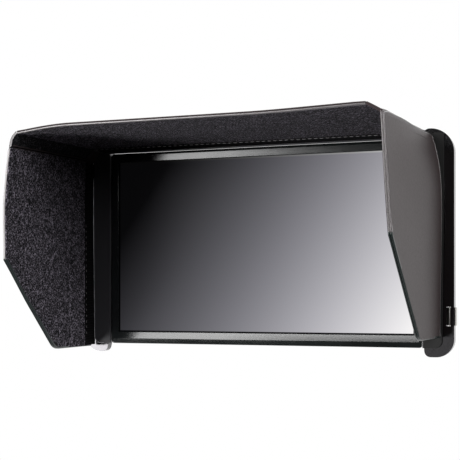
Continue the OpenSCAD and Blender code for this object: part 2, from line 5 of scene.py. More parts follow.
import bmesh
import bpy
from mathutils import Matrix, Vector, noise
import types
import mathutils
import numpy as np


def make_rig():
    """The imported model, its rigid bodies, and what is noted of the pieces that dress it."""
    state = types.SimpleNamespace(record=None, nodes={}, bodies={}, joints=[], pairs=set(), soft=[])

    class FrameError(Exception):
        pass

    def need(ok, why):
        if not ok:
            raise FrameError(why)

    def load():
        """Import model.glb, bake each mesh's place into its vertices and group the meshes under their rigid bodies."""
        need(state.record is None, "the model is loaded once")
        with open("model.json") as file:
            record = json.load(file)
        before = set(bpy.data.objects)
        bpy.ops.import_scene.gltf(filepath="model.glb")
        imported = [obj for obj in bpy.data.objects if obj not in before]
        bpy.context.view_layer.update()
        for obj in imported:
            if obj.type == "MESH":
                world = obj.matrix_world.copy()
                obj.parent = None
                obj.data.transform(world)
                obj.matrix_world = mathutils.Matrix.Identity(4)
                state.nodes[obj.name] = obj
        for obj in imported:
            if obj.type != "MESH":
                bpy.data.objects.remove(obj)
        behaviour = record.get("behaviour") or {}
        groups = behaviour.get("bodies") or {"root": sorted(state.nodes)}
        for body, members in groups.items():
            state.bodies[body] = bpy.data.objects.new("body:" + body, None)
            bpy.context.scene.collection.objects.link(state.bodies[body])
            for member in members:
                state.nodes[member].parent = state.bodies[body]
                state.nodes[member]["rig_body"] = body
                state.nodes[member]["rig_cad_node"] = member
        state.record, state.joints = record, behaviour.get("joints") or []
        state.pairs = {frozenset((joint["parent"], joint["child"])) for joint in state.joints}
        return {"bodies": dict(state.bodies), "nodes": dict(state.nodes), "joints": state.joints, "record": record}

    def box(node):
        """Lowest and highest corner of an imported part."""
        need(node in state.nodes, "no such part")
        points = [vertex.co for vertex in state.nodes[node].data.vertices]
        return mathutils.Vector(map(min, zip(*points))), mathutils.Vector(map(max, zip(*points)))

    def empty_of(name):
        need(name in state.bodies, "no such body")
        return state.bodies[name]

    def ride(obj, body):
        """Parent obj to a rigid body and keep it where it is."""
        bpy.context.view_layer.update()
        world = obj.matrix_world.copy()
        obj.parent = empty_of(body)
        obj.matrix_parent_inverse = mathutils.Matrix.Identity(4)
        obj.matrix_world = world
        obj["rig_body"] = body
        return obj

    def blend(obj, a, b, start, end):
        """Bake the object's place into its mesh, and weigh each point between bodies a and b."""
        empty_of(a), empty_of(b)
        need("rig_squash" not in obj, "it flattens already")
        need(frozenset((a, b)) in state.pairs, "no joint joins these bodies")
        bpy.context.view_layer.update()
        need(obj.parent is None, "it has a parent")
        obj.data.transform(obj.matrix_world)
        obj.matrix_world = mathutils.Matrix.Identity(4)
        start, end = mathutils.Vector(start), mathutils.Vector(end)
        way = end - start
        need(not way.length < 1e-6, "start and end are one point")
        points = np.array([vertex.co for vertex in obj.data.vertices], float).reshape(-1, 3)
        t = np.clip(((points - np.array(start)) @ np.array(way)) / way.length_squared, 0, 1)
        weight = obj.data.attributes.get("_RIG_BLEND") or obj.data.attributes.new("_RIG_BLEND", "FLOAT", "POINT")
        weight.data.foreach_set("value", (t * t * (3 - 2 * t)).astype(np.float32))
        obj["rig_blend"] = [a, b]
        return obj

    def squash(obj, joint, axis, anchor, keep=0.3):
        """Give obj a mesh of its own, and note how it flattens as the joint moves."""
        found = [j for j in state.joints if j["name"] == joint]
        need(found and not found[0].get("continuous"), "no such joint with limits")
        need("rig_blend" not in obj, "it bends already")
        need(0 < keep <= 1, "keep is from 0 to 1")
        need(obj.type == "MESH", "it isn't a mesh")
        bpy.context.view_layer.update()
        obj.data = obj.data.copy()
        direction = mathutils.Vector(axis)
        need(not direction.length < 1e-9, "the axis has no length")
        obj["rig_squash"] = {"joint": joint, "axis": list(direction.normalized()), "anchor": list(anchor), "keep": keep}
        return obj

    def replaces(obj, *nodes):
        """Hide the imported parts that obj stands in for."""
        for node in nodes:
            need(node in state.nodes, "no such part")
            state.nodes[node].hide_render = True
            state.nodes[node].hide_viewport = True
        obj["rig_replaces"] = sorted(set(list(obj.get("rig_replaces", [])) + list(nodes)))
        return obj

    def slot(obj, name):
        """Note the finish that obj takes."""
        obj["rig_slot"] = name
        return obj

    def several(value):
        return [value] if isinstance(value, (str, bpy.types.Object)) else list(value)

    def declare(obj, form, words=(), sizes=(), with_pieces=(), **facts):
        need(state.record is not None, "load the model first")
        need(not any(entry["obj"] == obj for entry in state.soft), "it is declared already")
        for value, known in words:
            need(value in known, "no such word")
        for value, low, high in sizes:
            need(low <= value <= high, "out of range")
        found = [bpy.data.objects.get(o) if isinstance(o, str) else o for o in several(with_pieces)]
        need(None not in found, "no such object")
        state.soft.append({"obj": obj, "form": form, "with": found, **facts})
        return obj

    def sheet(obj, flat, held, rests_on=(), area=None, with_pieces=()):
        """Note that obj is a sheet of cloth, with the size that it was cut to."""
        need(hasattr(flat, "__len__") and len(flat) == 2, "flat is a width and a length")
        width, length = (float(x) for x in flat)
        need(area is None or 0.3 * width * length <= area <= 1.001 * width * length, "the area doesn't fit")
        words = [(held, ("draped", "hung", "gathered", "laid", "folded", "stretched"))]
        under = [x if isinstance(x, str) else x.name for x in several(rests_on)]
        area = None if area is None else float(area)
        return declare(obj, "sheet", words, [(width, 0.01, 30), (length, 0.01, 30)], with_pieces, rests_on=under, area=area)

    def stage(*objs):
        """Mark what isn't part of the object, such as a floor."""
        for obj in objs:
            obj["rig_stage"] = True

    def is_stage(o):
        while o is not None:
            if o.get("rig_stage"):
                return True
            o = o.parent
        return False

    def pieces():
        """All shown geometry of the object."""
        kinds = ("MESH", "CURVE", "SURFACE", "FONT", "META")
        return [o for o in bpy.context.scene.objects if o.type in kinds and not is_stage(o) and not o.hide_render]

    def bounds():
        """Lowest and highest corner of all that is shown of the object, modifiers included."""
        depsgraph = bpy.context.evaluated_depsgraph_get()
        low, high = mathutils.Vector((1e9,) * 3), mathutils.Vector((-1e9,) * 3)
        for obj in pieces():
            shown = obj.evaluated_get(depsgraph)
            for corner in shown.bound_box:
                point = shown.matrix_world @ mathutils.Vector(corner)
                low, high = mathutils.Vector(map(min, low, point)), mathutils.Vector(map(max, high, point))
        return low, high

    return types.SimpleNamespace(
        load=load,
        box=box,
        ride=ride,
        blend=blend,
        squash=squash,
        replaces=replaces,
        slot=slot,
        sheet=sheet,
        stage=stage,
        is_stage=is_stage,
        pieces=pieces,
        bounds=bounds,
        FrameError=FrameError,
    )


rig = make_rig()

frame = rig.load()
cad_box = [list(corner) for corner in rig.bounds()]
MM = 0.001

# ---- Places taken from the frame -------------------------------------------------

JOINTS = {joint["name"]: joint for joint in frame["joints"]}
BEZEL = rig.box("front_bezel")
FRONT_Y = BEZEL[0].y
BLOCK_TOP = BEZEL[1].z
COVER_LOW, COVER_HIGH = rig.box("top_cover")
TOP_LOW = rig.box("top_lining")[0].z
TOP_HIGH = COVER_HIGH.z
HOOD_X = (COVER_LOW.x + COVER_HIGH.x) / 2
HOOD_FRONT = COVER_LOW.y
TOP_REAR = COVER_HIGH.y
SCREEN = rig.box("light_guide")
SCREEN_MARGIN = 1.6 * MM


def joint_place(name):
    return Vector(JOINTS[name]["pos_m"])


# ---- Shader helpers --------------------------------------------------------------


class Value:
    """A shader socket that carries a number, with arithmetic that adds Math nodes."""

    def __init__(self, shader, socket):
        self.shader = shader
        self.socket = socket

    def __add__(self, other):
        return self.shader.math("ADD", self, other)

    def __radd__(self, other):
        return self.shader.math("ADD", other, self)

    def __sub__(self, other):
        return self.shader.math("SUBTRACT", self, other)

    def __rsub__(self, other):
        return self.shader.math("SUBTRACT", other, self)

    def __mul__(self, other):
        return self.shader.math("MULTIPLY", self, other)

    def __rmul__(self, other):
        return self.shader.math("MULTIPLY", other, self)

    def __truediv__(self, other):
        return self.shader.math("DIVIDE", self, other)

    def __pow__(self, other):
        return self.shader.math("POWER", self, other)

    def clamp(self):
        result = self.shader.math("ADD", self, 0.0)
        result.socket.node.use_clamp = True
        return result

    def below(self, other):
        return self.shader.math("LESS_THAN", self, other)

    def above(self, other):
        return self.shader.math("GREATER_THAN", self, other)


class Shader:
    """One material, its principled shader and short ways to add nodes."""

    def __init__(self, name, **constants):
        self.material = bpy.data.materials.new(name)
        self.material.use_nodes = True
        self.tree = self.material.node_tree
        self.surface = self.tree.nodes["Principled BSDF"]
        for socket, value in constants.items():
            self.surface.inputs[socket.replace("_", " ")].default_value = value

    def node(self, kind, settings=None, inputs=None, output=0):
        node = self.tree.nodes.new("ShaderNode" + kind)
        for key, value in (settings or {}).items():
            if key == "ramp":
                self._fill_ramp(node.color_ramp, value)
            else:
                setattr(node, key, value)
        for key, value in (inputs or {}).items():
            self.feed(node.inputs[key], value)
        return Value(self, node.outputs[output])

    @staticmethod
    def _fill_ramp(ramp, stops):
        while len(ramp.elements) < len(stops):
            ramp.elements.new(1)
        for element, (place, colour) in zip(ramp.elements, stops):
            element.position = place
            element.color = colour

    def feed(self, socket, value):
        if isinstance(value, Value):
            value = value.socket
        if isinstance(value, bpy.types.NodeSocket):
            self.tree.links.new(value, socket)
        else:
            socket.default_value = value

    def math(self, operation, *values):
        return self.node("Math", {"operation": operation}, dict(enumerate(values)))

    def object_place(self):
        return self.node("TexCoord", output="Object")

    def axes(self):
        node = self.node("SeparateXYZ", None, {0: self.object_place()}).socket.node
        return [Value(self, output) for output in node.outputs]

    def noise(self, scale, detail, roughness=0.55, vector=None):
        return self.node("TexNoise", None, {"Vector": vector or self.object_place(), "Scale": scale,
                                            "Detail": detail, "Roughness": roughness})

    def cells(self, scale):
        return self.node("TexVoronoi", None, {"Vector": self.object_place(), "Scale": scale})

    def ramp(self, factor, stops):
        """Greys at given places from 0 to 1."""
        stops = [(place, (grey, grey, grey, 1.0)) for place, grey in stops]
        return self.node("ValToRGB", {"ramp": stops}, {0: factor})

    def mix(self, factor, first, second):
        first, second = [(*c, 1.0) if isinstance(c, tuple) else c for c in (first, second)]
        return self.node("Mix", {"data_type": "RGBA"}, {0: factor, 6: first, 7: second}, 2)

    def bump(self, height, distance, strength=1.0):
        return self.node("Bump", None, {"Height": height, "Distance": distance, "Strength": strength})

    def set(self, **inputs):
        for socket, value in inputs.items():
            self.feed(self.surface.inputs[socket.replace("_", " ")], value)
        return self.material


def shades(colour, *factors):
    return [tuple(channel * factor for channel in colour) for factor in factors]


# ---- Materials -------------------------------------------------------------------


def moulded_plastic(name, colour, roughness, grain=0.00002, scale=2600, specular=0.5):
    """Injection-moulded plastic with a fine even texture and faint handling marks."""
    shader = Shader(name, Specular_IOR_Level=specular, IOR=1.5)
    marks = shader.noise(35, 5)
    base = shader.mix(shader.ramp(marks, [(0.35, 0.0), (0.7, 1.0)]), *shades(colour, 0.85, 1.15))
    return shader.set(Base_Color=base, Roughness=roughness + (marks - 0.5) * 0.12,
                      Normal=shader.bump(shader.noise(scale, 2), grain))


# Painted shade: the frame's sheet is painted black from here outwards, where the right wing shades it
WING_SHADE_FROM = 82 * MM


def frame_sheet(name, colour, dark):
    """Satin sheet of the hood frame, black along its right edge beside the wing as painted shade of that wing."""
    shader = Shader(name, Specular_IOR_Level=0.5, IOR=1.5)
    marks = shader.noise(35, 5)
    # Painted shade of the right wing on the frame's edge
    wing_shade = ((shader.axes()[0] - WING_SHADE_FROM) / (1 * MM)).clamp()
    base = shader.mix(wing_shade, shader.mix(marks, *shades(colour, 0.85, 1.15)), dark)
    return shader.set(Base_Color=base, Roughness=0.38 + wing_shade * 0.4 + (marks - 0.5) * 0.12,
                      Normal=shader.bump(shader.noise(1600, 2), 0.00002))


# Painted light on the frame's cord: it grows lighter over this height
PAINTED_LIGHT_FROM = 45 * MM
PAINTED_LIGHT_OVER = 22 * MM


def cord_lit_towards_top(name, low, high):
    """Pale cord, painted lighter towards its upper end as painted light where the hood's top shades it."""
    shader = Shader(name, Roughness=0.4, Specular_IOR_Level=0.5)
    share = ((shader.axes()[2] - PAINTED_LIGHT_FROM) / PAINTED_LIGHT_OVER).clamp()
    return shader.set(Base_Color=shader.mix(share, low, high),
                      Normal=shader.bump(shader.noise(2600, 2), 0.00002))


def painted_metal(name, colour, roughness, metallic=0.0, coat=0.3):
    """Smooth paint with a trace of orange peel."""
    shader = Shader(name, Coat_Weight=coat, Coat_Roughness=0.08)
    dust = shader.noise(60, 6)
    base = shader.mix(shader.ramp(dust, [(0.4, 0.0), (0.75, 1.0)]), *shades(colour, 0.9, 1.12))
    return shader.set(Base_Color=base, Metallic=metallic, Roughness=roughness + (dust - 0.5) * 0.1,
                      Normal=shader.bump(shader.noise(420, 2), 0.00003))


def matt_paint(name, colour):
    return Shader(name, Roughness=0.9).set(Base_Color=(*colour, 1.0))


def bare_metal(name, colour, roughness):
    """Metal with drawn or turned marks along one direction."""
    shader = Shader(name, Metallic=1.0)
    stretched = shader.node("Mapping", None, {"Vector": shader.object_place(), "Scale": (4, 4, 900)})
    lines = shader.noise(60, 3, vector=stretched)
    return shader.set(Base_Color=shader.mix(lines, *shades(colour, 0.8, 1)),
                      Roughness=roughness + (lines - 0.5) * 0.2, Normal=shader.bump(lines, 0.00001))


def coated_cloth(name, colour, roughness, coat=0.0, coat_ior=1.5, specular=0.5, sheen=0.08):
    """Coated hood cloth: a very fine pebble grain over long soft waves."""
    shader = Shader(name, Sheen_Weight=sheen, Sheen_Roughness=0.4, IOR=1.45, Coat_Weight=coat,
                    Coat_Roughness=0.16, Coat_IOR=coat_ior, Specular_IOR_Level=specular,
                    Specular_Tint=(1.0, 0.84, 0.86, 1.0))
    pores = shader.noise(900, 3)
    wave = shader.ramp(shader.noise(28, 3), [(0.3, 0.0), (0.7, 1.0)])
    height = shader.cells(1500) * 0.7 + pores * 0.3
    return shader.set(Base_Color=shader.mix(wave, *shades(colour, 0.93, 1.06)),
                      Roughness=roughness + (pores - 0.5) * 0.15, Normal=shader.bump(height, 0.00006, 0.7))


def flocking(name, dark, light, scale=1250):
    """Short black flock: speckled tips over a dark ground."""
    shader = Shader(name, Roughness=0.95, Sheen_Weight=0.03, Sheen_Roughness=0.5,
                    Specular_IOR_Level=0.05)
    tips = shader.noise(scale, 3, 0.75)
    clumps = shader.noise(scale / 3.5, 2)
    speckle = shader.ramp(tips * 0.85 + clumps * 0.15, [(0.48, 0.0), (0.56, 0.3), (0.64, 1.0)])
    return shader.set(Base_Color=shader.mix(speckle, dark, light), Normal=shader.bump(tips, 0.0004, 0.8))


def woven(name, colour, pitch, bright=1.6, axes=(0, 2)):
    """Plain weave of narrow tape: crossing threads along two object axes."""
    shader = Shader(name, Roughness=0.8, Sheen_Weight=0.2)
    place = shader.axes()
    warp, weft = (shader.math("SINE", place[axis] * (math.tau / pitch)) for axis in axes)
    height = warp * weft * 0.5 + 0.5
    return shader.set(Base_Color=shader.mix(height, *shades(colour, 0.6, bright)),
                      Normal=shader.bump(height, 0.00015))


def ribbon(name, dark, light, pitch):
    """Ribbed woven ribbon, its ribs across X and Z so that they show on either face."""
    shader = Shader(name, Roughness=0.75, Specular_IOR_Level=0.06)
    place = shader.axes()
    ribs = shader.math("SINE", (place[0] + place[2]) * (math.tau / pitch)) * 0.5 + 0.5
    height = ribs * 0.7 + shader.noise(2400, 2) * 0.3
    return shader.set(Base_Color=shader.mix(height, dark, light), Normal=shader.bump(height, 0.0002))


def screen_picture(name):
    """Cover glass bonded to the lit panel: a plain grey test ramp from dark upper left to
    pale lower right, under gloss."""
    shader = Shader(name, Roughness=0.3, Specular_IOR_Level=0.02, Emission_Strength=1.0)
    x, _, z = shader.axes()
    left, top = SCREEN[0].x + SCREEN_MARGIN, SCREEN[1].z - SCREEN_MARGIN
    width = SCREEN[1].x - SCREEN_MARGIN - left
    height = top - SCREEN[0].z - SCREEN_MARGIN
    across = (x - left) / width
    down = (top - z) / height

    def glow_of(level):
        glow = (((level + 0.055) / 1.055) ** 2.4 - 0.006) * 0.96
        return shader.math("MAXIMUM", glow, 0.0021)

    # Display level, 0 to 1, with a soft toe at the dark corner
    level = (across * 141.9 + down * 60.7 + across * across * 35.0 + across * down * 19.8 - 5.0) / 255.0
    level = shader.math("MAXIMUM", level, 0.03)
    glow = glow_of(level)
    blue = glow * 1.12 - glow * glow * 0.145
    picture = shader.node("CombineColor", None, {0: glow, 1: glow * 0.985, 2: blue})
    beside, beyond = (shader.math("ABSOLUTE", share - 0.5).above(0.5) for share in (across, down))
    lit = shader.mix(shader.math("MAXIMUM", beside, beyond), picture, (0.0, 0.0, 0.0))
    # Painted highlight: the glass edge along the top glows, standing for the light that this edge catches
    edge = down.below(0.0) * down.above(-0.75 * MM / height) * across.above(0.0) * across.below(1.0)
    glass_edge_highlight = glow_of(level * 1.18)
    lit = shader.mix(edge, lit, shader.node("CombineColor", None, {0: glass_edge_highlight, 1: glass_edge_highlight, 2: glass_edge_highlight}))
    return shader.set(Base_Color=(0.004, 0.004, 0.005, 1.0), Emission_Color=lit)


def make_finishes():
    """Every finish by name. Those with a slot's name are for the CAD nodes too."""
    made = {}

    def add(name, maker, *values, **more):
        made[name] = maker(name, *values, **more)

    add("bezel_plastic", moulded_plastic, (0.008, 0.01, 0.01), 0.13, 0.000003, 1800, 0.66)
    add("screen_glass", screen_picture)
    add("panel_glass", moulded_plastic, (0.3, 0.3, 0.32), 0.15)
    add("clear_acrylic", moulded_plastic, (0.8, 0.83, 0.85), 0.1)
    add("sheet_metal", bare_metal, (0.7, 0.71, 0.72), 0.35)
    add("circuit_board", moulded_plastic, (0.02, 0.13, 0.06), 0.4)
    add("screw_steel", bare_metal, (0.7, 0.7, 0.7), 0.3)
    add("housing_plastic", moulded_plastic, (0.018, 0.018, 0.019), 0.5, 0.00004, 1500)
    add("black_screw", bare_metal, (0.05, 0.05, 0.052), 0.35)
    add("brass_insert", bare_metal, (0.72, 0.53, 0.26), 0.28)
    add("plate_paint", painted_metal, (0.1, 0.097, 0.102), 0.13, 1.0, 0.2)
    add("gold_contact", bare_metal, (0.9, 0.66, 0.3), 0.25)
    add("key_plastic", moulded_plastic, (0.05, 0.05, 0.052), 0.45)
    add("power_key_plastic", moulded_plastic, (0.3, 0.02, 0.02), 0.4)
    add("socket_steel", bare_metal, (0.66, 0.66, 0.68), 0.25)
    add("socket_plastic", moulded_plastic, (0.01, 0.01, 0.01), 0.5)
    add("clip_paint", painted_metal, (0.55, 0.53, 0.5), 0.42, 0.8)
    # A lighter copy of the clip paint: painted highlight along the slot's edge
    add("clip_rim", painted_metal, (0.62, 0.6, 0.57), 0.35, 0.3)
    add("strap_webbing", woven, (0.03, 0.03, 0.03), 0.9 * MM)
    add("frame_plastic", frame_sheet, (0.042, 0.041, 0.046), (0.003, 0.003, 0.003))
    add("stiff_board", moulded_plastic, (0.32, 0.31, 0.3), 0.7, 0.00005, 1200)
    add("hood_leather", coated_cloth, (0.044, 0.034, 0.0345), 0.36, specular=0.075, sheen=0.03)
    add("hood_edge", coated_cloth, (0.05, 0.047, 0.048), 0.3, 0.9, 1.6)
    # A lighter copy of the edge cloth: painted highlight on the left wing's front edge and the left corner's rim
    add("pale_edge", coated_cloth, (0.3, 0.29, 0.292), 0.3, 1.0, 1.9)
    # A lighter copy of the edge cloth: painted highlight on the lower bead of the top's front edge, over the coat's own
    # gloss
    add("top_rim", coated_cloth, (0.11, 0.104, 0.106), 0.3, 0.9, 1.65)
    # Painted shade on the wings' downward-facing lower edges, on a dark green-black tint
    add("edge_paint", painted_metal, (0.012, 0.02, 0.019), 0.3, 0.0, 0.0)
    # Painted highlight: a pale cord that stands for the light caught by the left frame edge
    add("frame_edge", cord_lit_towards_top, (0.26, 0.255, 0.275), (0.85, 0.83, 0.88))
    add("thread", moulded_plastic, (0.3, 0.29, 0.3), 0.6)
    add("hinge_ribbon", ribbon, (0.0006, 0.0006, 0.0008), (0.007, 0.0065, 0.007), 1.3 * MM)
    add("hood_lining", flocking, (0.005, 0.005, 0.006), (0.345, 0.31, 0.375))
    # A darker copy of the lining: painted shade under the top on the left corner strip
    add("corner_lining", flocking, (0.003, 0.003, 0.004), (0.09, 0.085, 0.093))
    add("hinge_fabric", woven, (0.006, 0.006, 0.007), 1.1 * MM, 3.0, (0, 1))
    add("floor_paint", matt_paint, (0.6, 0.6, 0.6))
    return made


FINISHES = make_finishes()


# ---- Carried-over nodes ----------------------------------------------------------


def finish_nodes():
    """Gives every CAD node the finish of its slot."""
    slots = {part["node"]: part["material_slot"] for part in frame["record"]["subparts"]}
    for name, node in frame["nodes"].items():
        coat(node.data, slots[name])
    return slots


MERGE = 0.001 * MM
FLAT = math.radians(0.6)
SHARP = math.radians(40)
# Long folds between these angles stay crisp lines
LONG_FOLD = 40 * MM
FOLD_FROM, FOLD_TO = math.radians(2), math.radians(35)


def eased_copy(node, width, segments, finish):
    """A copy of a CAD node with its sharp edges rounded, which then stands for it."""
    mesh = bpy.data.meshes.new("eased_" + node)
    work = bmesh.new()
    work.from_mesh(frame["nodes"][node].data)
    bmesh.ops.remove_doubles(work, verts=work.verts, dist=MERGE)
    bmesh.ops.dissolve_limit(work, angle_limit=FLAT, verts=work.verts, edges=work.edges)
    for face in work.faces:
        face.smooth = True
    for edge in work.edges:
        if len(edge.link_faces) == 2 and edge.calc_length() > LONG_FOLD:
            edge.smooth = not FOLD_FROM < edge.calc_face_angle() < FOLD_TO
    work.to_mesh(mesh)
    work.free()
    piece = new_piece("eased_" + node, mesh, finish)
    bevel = piece.modifiers.new("edges", "BEVEL")
    bevel.width = width
    bevel.segments = segments
    bevel.limit_method = "ANGLE"
    bevel.angle_limit = SHARP
    bevel.use_clamp_overlap = True
    weighted = piece.modifiers.new("flat faces", "WEIGHTED_NORMAL")
    weighted.keep_sharp = True
    weighted.weight = 100
    apply_modifiers(piece)
    body = next(b for b, names in frame["record"]["behaviour"]["bodies"].items() if node in names)
    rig.ride(piece, body)
    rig.replaces(piece, node)
    return piece


# ---- Mesh helpers ----------------------------------------------------------------


def coat(mesh, finish):
    """Gives a mesh one finish."""
    mesh.materials.clear()
    mesh.materials.append(FINISHES[finish])


def new_piece(name, mesh, finish):
    coat(mesh, finish)
    piece = bpy.data.objects.new(name, mesh)
    bpy.context.scene.collection.objects.link(piece)
    return piece


def piece_from(name, work, finish):
    """A piece from a bmesh, its faces turned outwards."""
    bmesh.ops.recalc_face_normals(work, faces=work.faces)
    mesh = bpy.data.meshes.new(name)
    work.to_mesh(mesh)
    work.free()
    return new_piece(name, mesh, finish)


def apply_modifiers(piece):
    bpy.context.view_layer.update()
    evaluated = piece.evaluated_get(bpy.context.evaluated_depsgraph_get())
    mesh = bpy.data.meshes.new_from_object(evaluated)
    piece.modifiers.clear()
    piece.data = mesh


def shade_by_angle(mesh, angle):
    for polygon in mesh.polygons:
        polygon.use_smooth = True
    mesh.set_sharp_from_angle(angle=math.radians(angle))


def thicken(piece, thickness, even=False):
    """Gives a sheet its thickness about its middle."""
    solid = piece.modifiers.new("thickness", "SOLIDIFY")
    solid.thickness = thickness
    solid.offset = 0
    solid.use_even_offset = even
    apply_modifiers(piece)
    shade_by_angle(piece.data, 60)
    return piece


def cut_sheet(name, outline, step, place, finish, thickness):
    """A sheet cut to a flat outline, gridded at about step and laid by place(a, b)."""
    work = bmesh.new()
    work.faces.new([work.verts.new((a, b, 0)) for a, b in outline])
    for axis, normal in enumerate(((1, 0, 0), (0, 1, 0))):
        low = min(point[axis] for point in outline)
        high = max(point[axis] for point in outline)
        count = max(1, round((high - low) / step))
        for i in range(1, count):
            at = low + (high - low) * i / count
            bmesh.ops.bisect_plane(work, geom=work.verts[:] + work.edges[:] + work.faces[:],
                                   plane_co=tuple(n * at for n in normal), plane_no=normal)
    for vert in work.verts:
        vert.co = place(vert.co.x, vert.co.y)
    return thicken(piece_from(name, work, finish), thickness, even=True)


def grid_piece(name, rows, finish, thickness):
    """A sheet through rows of points."""
    work = bmesh.new()
    grid = [[work.verts.new(point) for point in row] for row in rows]
    for row, following in zip(grid, grid[1:]):
        for i in range(len(row) - 1):
            work.faces.new((row[i], row[i + 1], following[i + 1], following[i]))
    return thicken(piece_from(name, work, finish), thickness)


def skin_over(name, rings, finish, smooth):
    """A closed skin over rings of points, with flat ends."""
    work = bmesh.new()
    loops = [[work.verts.new(point) for point in ring] for ring in rings]
    count = len(rings[0])
    for loop, following in zip(loops, loops[1:]):
        for i in range(count):
            j = (i + 1) % count
            work.faces.new((loop[i], loop[j], following[j], following[i]))
    work.faces.new(loops[0][::-1])
    work.faces.new(loops[-1])
    piece = piece_from(name, work, finish)
    shade_by_angle(piece.data, smooth)
    return piece


def swept(name, path, frames, profile, finish):
    """A closed profile carried along a path. frames gives the two directions of the
    profile's plane at each point of the path."""
    rings = [[point + first * a + second * b for a, b in profile]
             for point, (first, second) in zip(path, frames)]
    return skin_over(name, rings, finish, 50)


def direction(path, i):
    """Direction of a path at one of its points."""
    return (path[min(i + 1, len(path) - 1)] - path[max(i - 1, 0)]).normalized()


def round_cord(name, path, radius, across, finish, sides=8):
    """A round cord or rolled rim along a path that stays square to one direction."""
    turns = [math.tau * k / sides for k in range(sides)]
    ring = [(radius * math.cos(turn), radius * math.sin(turn)) for turn in turns]
    frames = [(across, direction(path, i).cross(across).normalized()) for i in range(len(path))]
    return swept(name, path, frames, ring, finish)


def dense(points, step):
    """The same open path with points no further apart than step."""
    result = [points[0]]
    for start, end in zip(points, points[1:]):
        count = max(1, math.ceil((end - start).length / step))
        result += [start.lerp(end, k / count) for k in range(1, count + 1)]
    return result


def rounded_outline(points, radii, steps=5):
    """Corners of a flat outline replaced by arcs of the given radii."""
    result = []
    for i, (point, radius) in enumerate(zip(points, radii)):
        here = Vector(point)
        before = (Vector(points[i - 1]) - here).normalized()
        after = (Vector(points[(i + 1) % len(points)]) - here).normalized()
        half = before.angle(after) / 2
        centre = here + (before + after).normalized() * radius / math.sin(half)
        start = here + before * radius / math.tan(half) - centre
        end = here + after * radius / math.tan(half) - centre
        turn = start.angle_signed(end)
        result += [centre + Matrix.Rotation(-turn * k / steps, 2) @ start for k in range(steps + 1)]
    return result


def sheet_area(outline):
    """Area inside a flat outline."""
    return abs(sum(x0 * y1 - x1 * y0
                   for (x0, y0), (x1, y1) in zip(outline, outline[1:] + outline[:1]))) / 2


def surface_area(rows):
    """Area of the middle surface through rows of points."""
    total = 0.0
    for row, following in zip(rows, rows[1:]):
        for i in range(len(row) - 1):
            total += ((following[i + 1] - row[i]).cross(following[i] - row[i + 1])).length / 2
    return total


def smooth_step(t):
    t = min(1.0, max(0.0, t))
    return t * t * (3 - 2 * t)


def fit(piece, body, slot, node=None):
    """Rides a piece on its body, with its slot and the CAD node that it stands for."""
    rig.ride(piece, body)
    if node:
        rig.replaces(piece, node)
    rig.slot(piece, slot)
    return piece


# ---- Sun hood --------------------------------------------------------------------

PANEL = 1.9 * MM
TOP_PANEL = TOP_HIGH - TOP_LOW
SKIN = 0.5 * MM
BOARD_PLAY = 0.1 * MM
LIFT = 0.2 * MM
WAVE = 0.16 * MM
TOE_IN = math.radians(1.8)


def soft_wave(a, b, size, seed):
    return noise.noise(Vector((a / size, b / size, seed))) * WAVE


# Turned edges: each bead of a section has its middle and half width through the panel, in
# shares of the panel's thickness
EDGE_DEPTH = 0.5 * MM
BEAD_STEPS = 6
BOTH_BEADS = ((-0.25, 0.245), (0.25, 0.245))
OUTER_BEAD = ((0.22, 0.27),)
INNER_BEAD = ((-0.27, 0.22),)
UPPER_BEAD = ((0.3, 0.2),)
LOWER_BEAD = ((-0.22, 0.31),)


def edge_profile(thickness, beads=BOTH_BEADS):
    """Section of a turned edge, as (outwards from the outline, through the panel)."""
    points = []
    for centre, half in beads:
        for k in range(BEAD_STEPS + 1):
            angle = -math.pi / 2 + math.pi * k / BEAD_STEPS
            points.append((EDGE_DEPTH * 0.35 + math.cos(angle) * EDGE_DEPTH * 0.65,
                           (centre + math.sin(angle) * half) * thickness))
    inside = -EDGE_DEPTH * 0.9
    return points + [(inside, points[-1][1]), (inside, points[0][1])]


def turned_edge(name, outline, place, thickness, finish, beads=BOTH_BEADS):
    """Cloth turned over the open edge of a panel. place(a, b, through) gives a point."""
    profile = edge_profile(thickness, beads)
    rings = []
    for i, point in enumerate(outline):
        along = direction(outline, i)
        outwards = Vector((along.y, -along.x))
        rings.append([place(*(point + outwards * a), b) for a, b in profile])
    return skin_over(name, rings, finish, 60)


def covered_panel(name, body, node, outline, place, thickness, inset, steps, wave, seeds):
    """Cover and lining of a panel, both laid on its stiffener. outline(inset) gives its flat
    shape and place(a, b, through) a point of it."""
    skins = []
    for part, side, slot, seed in zip(("cover", "lining"), (1, -1), ("hood_leather", "hood_lining"), seeds):
        middle = side * (thickness - SKIN) / 2
        skin = cut_sheet(f"{name}_{part}", outline(inset), steps[0],
                         lambda a, b: place(a, b, middle + soft_wave(a, b, wave, seed)), slot, SKIN)
        skins.append(fit(skin, body, slot, f"{node}_{part}"))
    board = cut_sheet(name + "_stiffener", outline(0.5 * MM), steps[1], lambda a, b: place(a, b, 0),
                      "stiff_board", thickness - 2 * SKIN - BOARD_PLAY)
    return skins, fit(board, body, "stiff_board", node + "_board")


def declare_cloth(skins, trims, flat, outline, board):
    """Cover and lining as cloth, with the turned edges and strips that are sewn to the cover."""
    for skin, sewn in zip(skins, (trims, [])):
        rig.sheet(skin, flat=flat, area=sheet_area(outline), held="stretched", rests_on=board,
                 with_pieces=sewn)


# Wings

WING_INSET = 0.25 * MM
WING_START = 0.9 * MM
WING_REACH = 88.04 * MM
WING_SLOPE = math.radians(42.5)
BEND_OVER_LOW = 43.8 * MM
FALL_REAR = 0.6 * MM
REAR_TURN = 16 * MM
TURN_HEIGHT = 70 * MM
LEAN_HEIGHT = 42 * MM
REAR_LEAN_HEIGHT = 30 * MM
CURL_TOP = 66 * MM
CURL_HEIGHT = 44 * MM
